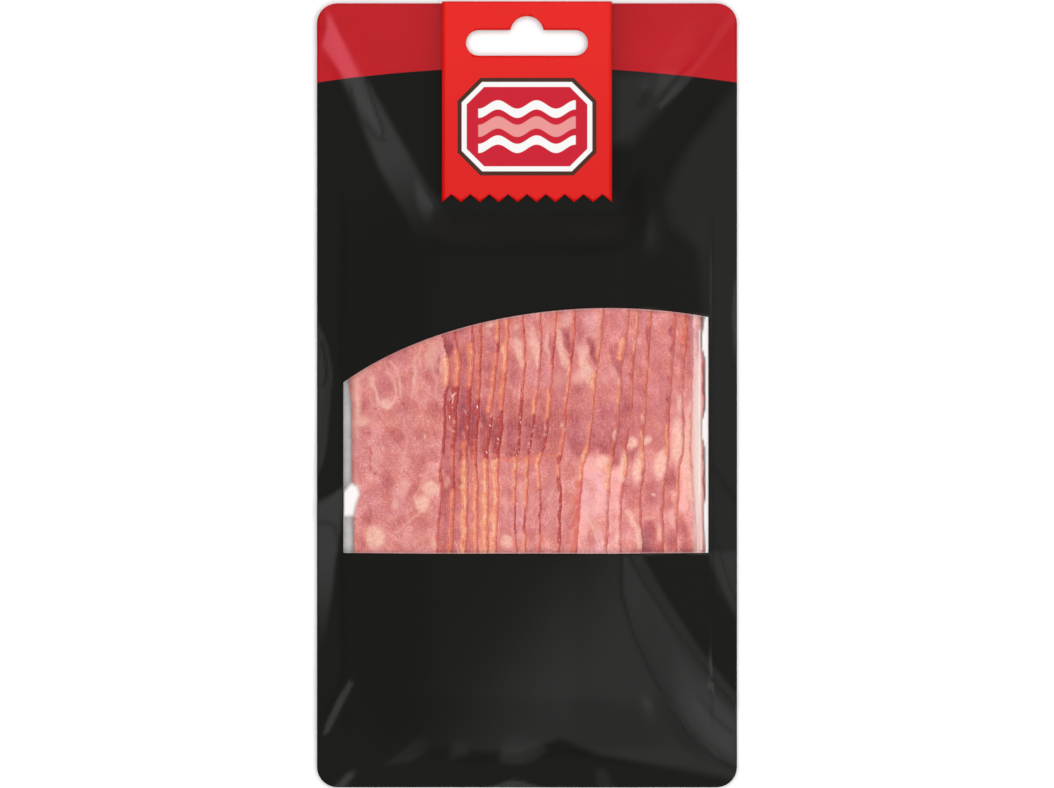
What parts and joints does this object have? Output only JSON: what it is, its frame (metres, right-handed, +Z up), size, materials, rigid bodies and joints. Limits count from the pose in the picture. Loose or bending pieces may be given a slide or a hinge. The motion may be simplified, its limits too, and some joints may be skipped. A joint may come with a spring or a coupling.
{
  "type": "bacon pack",
  "caption": "Flat vacuum pack of shingled bacon lying on its back: dark film pouch with a clear arched window, and a red hang label with a slot folded over its top edge.",
  "frame": {"origin": "centre of the pack's outline at its underside, on the surface that it lies on", "axes": "+Z up out of the printed face, +Y along the pack towards the hang slot, +X to the right of the printed face"},
  "size_m": [0.11, 0.206, 0.0107],
  "materials": {
    "printed_film": "glossy black film with a red band across the top and soft creases",
    "clear_film": "clear glossy film drawn tight over the slices",
    "label": "smooth bright red printed card with a plain badge",
    "bacon": "moist pink cured pork with pale fat and an orange smoked edge"
  },
  "bodies": {
    "root": {"pouch": "printed_film", "window_film": "clear_film", "hang_label": "label", "bacon_slice_01": "bacon", "bacon_slice_02": "bacon", "bacon_slice_03": "bacon", "bacon_slice_04": "bacon", "bacon_slice_05": "bacon", "bacon_slice_06": "bacon", "bacon_slice_07": "bacon", "bacon_slice_08": "bacon", "bacon_slice_09": "bacon", "bacon_slice_10": "bacon", "bacon_slice_11": "bacon", "bacon_slice_12": "bacon", "bacon_slice_13": "bacon", "bacon_slice_14": "bacon", "bacon_slice_15": "bacon", "bacon_slice_16": "bacon", "bacon_slice_17": "bacon", "bacon_slice_18": "bacon"}
  },
  "joints": []
}
